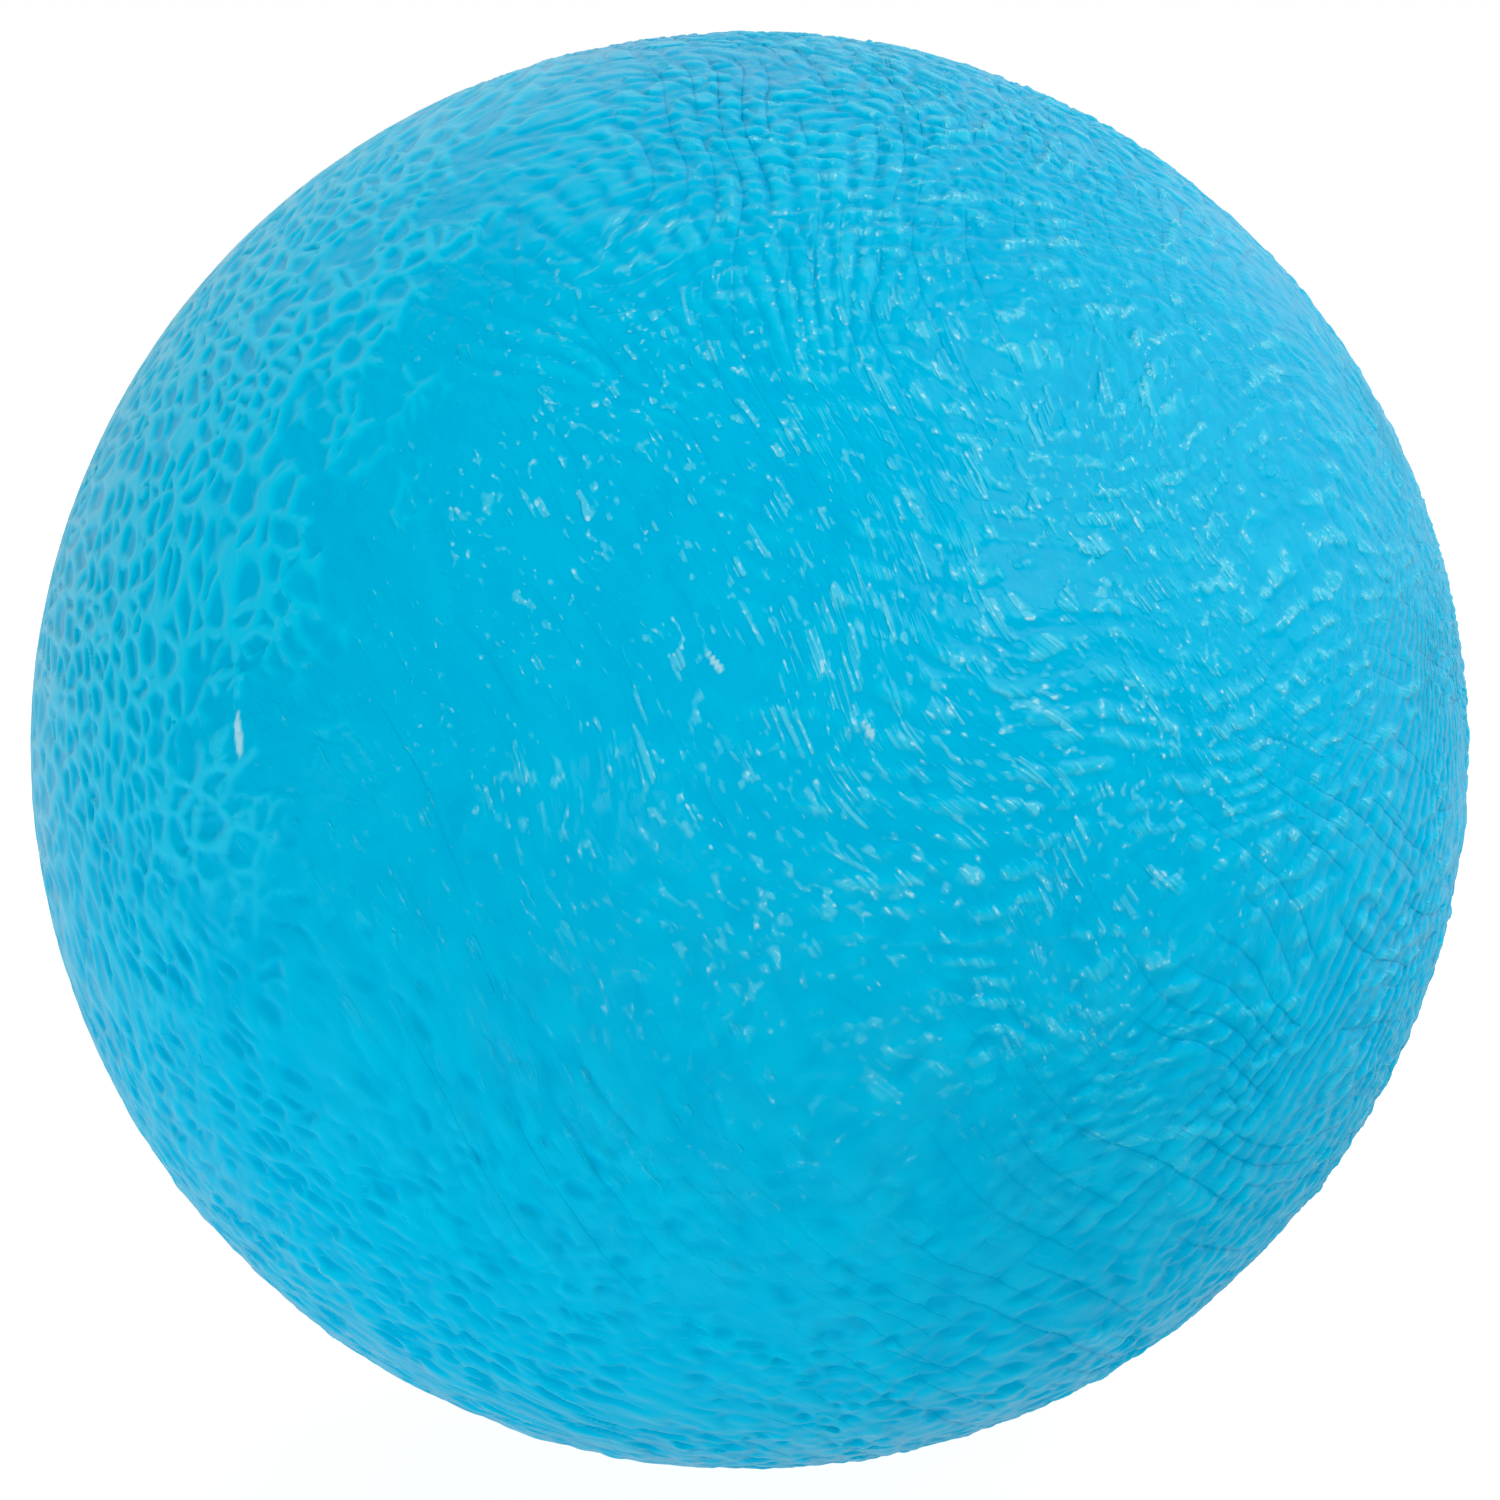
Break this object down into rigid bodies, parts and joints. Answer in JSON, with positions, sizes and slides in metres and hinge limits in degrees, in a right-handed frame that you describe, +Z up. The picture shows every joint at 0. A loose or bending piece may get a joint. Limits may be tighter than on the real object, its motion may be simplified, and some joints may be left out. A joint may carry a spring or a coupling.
{
  "type": "stress ball",
  "caption": "Soft squeeze ball: wrinkled leathery rubber skin round a gel-filled bladder, closed at the back by a flush plug; it flattens when squeezed and springs back.",
  "frame": {"origin": "centre of the small flat patch on which the ball rests, at the bottom centre of its bounding box", "axes": "+Z up; +Y towards the filling port and its plug at the back, so -Y is the unbroken face in front; +X to the right seen from the front"},
  "size_m": [0.05, 0.05, 0.0497],
  "materials": {
    "skin_rubber": "satin-glossy cyan rubber with a wrinkled leathery grain",
    "bladder_film": "smooth milky elastomer film",
    "gel": "clear soft gel with a faint blue tint",
    "stopper_rubber": "matte natural rubber",
    "plug_rubber": "satin cyan rubber, the skin's own compound"
  },
  "bodies": {
    "ball": {"outer_skin": "skin_rubber", "inner_bladder": "bladder_film", "gel_core": "gel"},
    "port": {"port_plug": "plug_rubber", "bladder_stopper": "stopper_rubber"}
  },
  "joints": [
    {"name": "squeeze", "type": "slide", "parent": "ball", "child": "port", "axis": [0, -1, 0], "range_m": [0, 0.01], "stiffness_N_per_m": 2500, "deforming": ["outer_skin", "inner_bladder", "gel_core"]}
  ]
}
